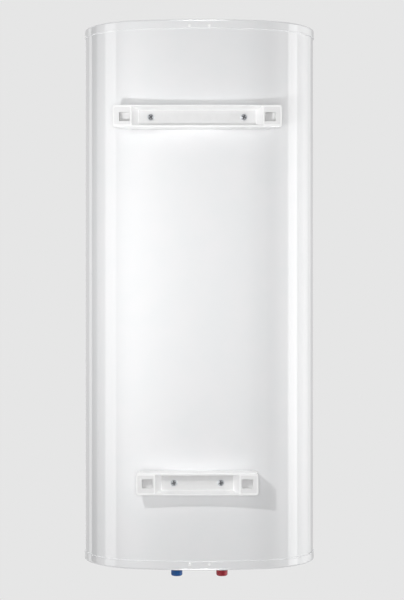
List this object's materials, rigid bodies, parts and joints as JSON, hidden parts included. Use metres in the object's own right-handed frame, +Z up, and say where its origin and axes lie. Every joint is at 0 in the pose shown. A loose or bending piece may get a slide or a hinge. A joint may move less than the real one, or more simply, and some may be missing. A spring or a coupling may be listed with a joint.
{
  "type": "tank water heater",
  "caption": "Flat oval wall-hung electric storage water heater with rear hook brackets, capped pipe nipples under it and a front control panel.",
  "frame": {"origin": "on the wall plane, on the heater's centre line, at the height of the upper bracket's hook windows", "axes": "+Z up, +Y into the wall that the heater hangs on, so the front faces -Y; +X is on the right of a person facing the front"},
  "size_m": [0.5146, 0.3333, 1.2135],
  "materials": {
    "white_enamelled_steel": "gloss white stoved enamel on sheet steel",
    "white_abs": "moulded white plastic, satin gloss",
    "white_powder_coat": "white powder coat on pressed steel",
    "zinc_plated_steel": "zinc-plated steel",
    "white_painted_screw": "white painted screw heads",
    "vitreous_enamel_steel": "blue vitreous enamel on steel",
    "stainless_steel": "bare stainless steel",
    "pu_foam": "rigid polyurethane foam",
    "blue_polyethylene": "moulded blue polyethylene",
    "red_polyethylene": "moulded red polyethylene",
    "copper_element": "copper-sheathed element tube",
    "magnesium": "cast magnesium",
    "epdm_rubber": "moulded black rubber",
    "panel_abs": "moulded light grey-white plastic",
    "smoked_lens": "smoked clear window",
    "knob_abs": "moulded white plastic",
    "button_abs": "moulded grey plastic",
    "lens_pc": "translucent moulded lenses",
    "circuit_board": "green circuit board",
    "black_component": "black moulded component",
    "red_reset": "red moulded button",
    "terminal_ivory": "ivory terminal block",
    "wire_insulation": "wire insulation",
    "grey_polyamide": "grey polyamide"
  },
  "bodies": {
    "heater": {"jacket": "white_enamelled_steel", "top_cap": "white_abs", "bottom_cap": "white_abs", "cap_screws": "white_painted_screw", "upper_bracket": "white_powder_coat", "lower_bracket": "white_powder_coat", "bracket_washers": "zinc_plated_steel", "bracket_bolts": "zinc_plated_steel", "upper_strap": "zinc_plated_steel", "lower_strap": "zinc_plated_steel", "strap_bosses": "zinc_plated_steel", "left_tank": "vitreous_enamel_steel", "right_tank": "vitreous_enamel_steel", "upper_transfer_pipe": "stainless_steel", "lower_transfer_pipe": "stainless_steel", "cold_nipple": "zinc_plated_steel", "hot_nipple": "zinc_plated_steel", "inlet_diffuser": "grey_polyamide", "hot_outlet_tube": "stainless_steel", "flange_bolts": "zinc_plated_steel", "temperature_probes": "stainless_steel", "insulation_foam": "pu_foam", "control_panel": "panel_abs", "display_window": "smoked_lens", "display_module": "black_component", "indicator_lenses": "lens_pc", "control_board": "circuit_board", "board_switches": "black_component", "board_screws": "zinc_plated_steel", "knob_encoder": "black_component", "component_tray": "zinc_plated_steel", "thermal_cutout": "black_component", "terminal_block": "terminal_ivory", "element_leads": "wire_insulation", "cable_gland": "grey_polyamide", "gland_nut": "grey_polyamide", "left_flange_ring": "vitreous_enamel_steel", "left_flange_gasket": "epdm_rubber", "left_flange_plate": "zinc_plated_steel", "left_heating_element": "copper_element", "left_anode": "magnesium", "left_thermowell": "stainless_steel", "right_flange_ring": "vitreous_enamel_steel", "right_flange_gasket": "epdm_rubber", "right_flange_plate": "zinc_plated_steel", "right_heating_element": "copper_element", "right_anode": "magnesium", "right_thermowell": "stainless_steel"},
    "temperature_knob": {"temperature_knob": "knob_abs"},
    "power_button": {"power_button": "button_abs"},
    "mode_button": {"mode_button": "button_abs"},
    "reset_button": {"reset_button": "red_reset"},
    "cold_thread_cap": {"cold_thread_cap": "blue_polyethylene"},
    "hot_thread_cap": {"hot_thread_cap": "red_polyethylene"}
  },
  "joints": [
    {"name": "temperature_turn", "type": "hinge", "parent": "heater", "child": "temperature_knob", "pos_m": [-0.058, -0.318, -0.9], "axis": [0, -1, 0], "range_deg": [-135, 135]},
    {"name": "power_press", "type": "slide", "parent": "heater", "child": "power_button", "axis": [0, 1, 0], "range_m": [0, 0.0012], "stiffness_N_per_m": 900, "springref_m": -0.0006},
    {"name": "mode_press", "type": "slide", "parent": "heater", "child": "mode_button", "axis": [0, 1, 0], "range_m": [0, 0.0012], "stiffness_N_per_m": 900, "springref_m": -0.0006},
    {"name": "reset_press", "type": "slide", "parent": "heater", "child": "reset_button", "axis": [0, 0, 1], "range_m": [0, 0.001], "stiffness_N_per_m": 900, "springref_m": -0.0006},
    {"name": "cold_cap_off", "type": "slide", "parent": "heater", "child": "cold_thread_cap", "axis": [0, 0, -1], "range_m": [0, 0.06]},
    {"name": "hot_cap_off", "type": "slide", "parent": "heater", "child": "hot_thread_cap", "axis": [0, 0, -1], "range_m": [0, 0.06]}
  ]
}
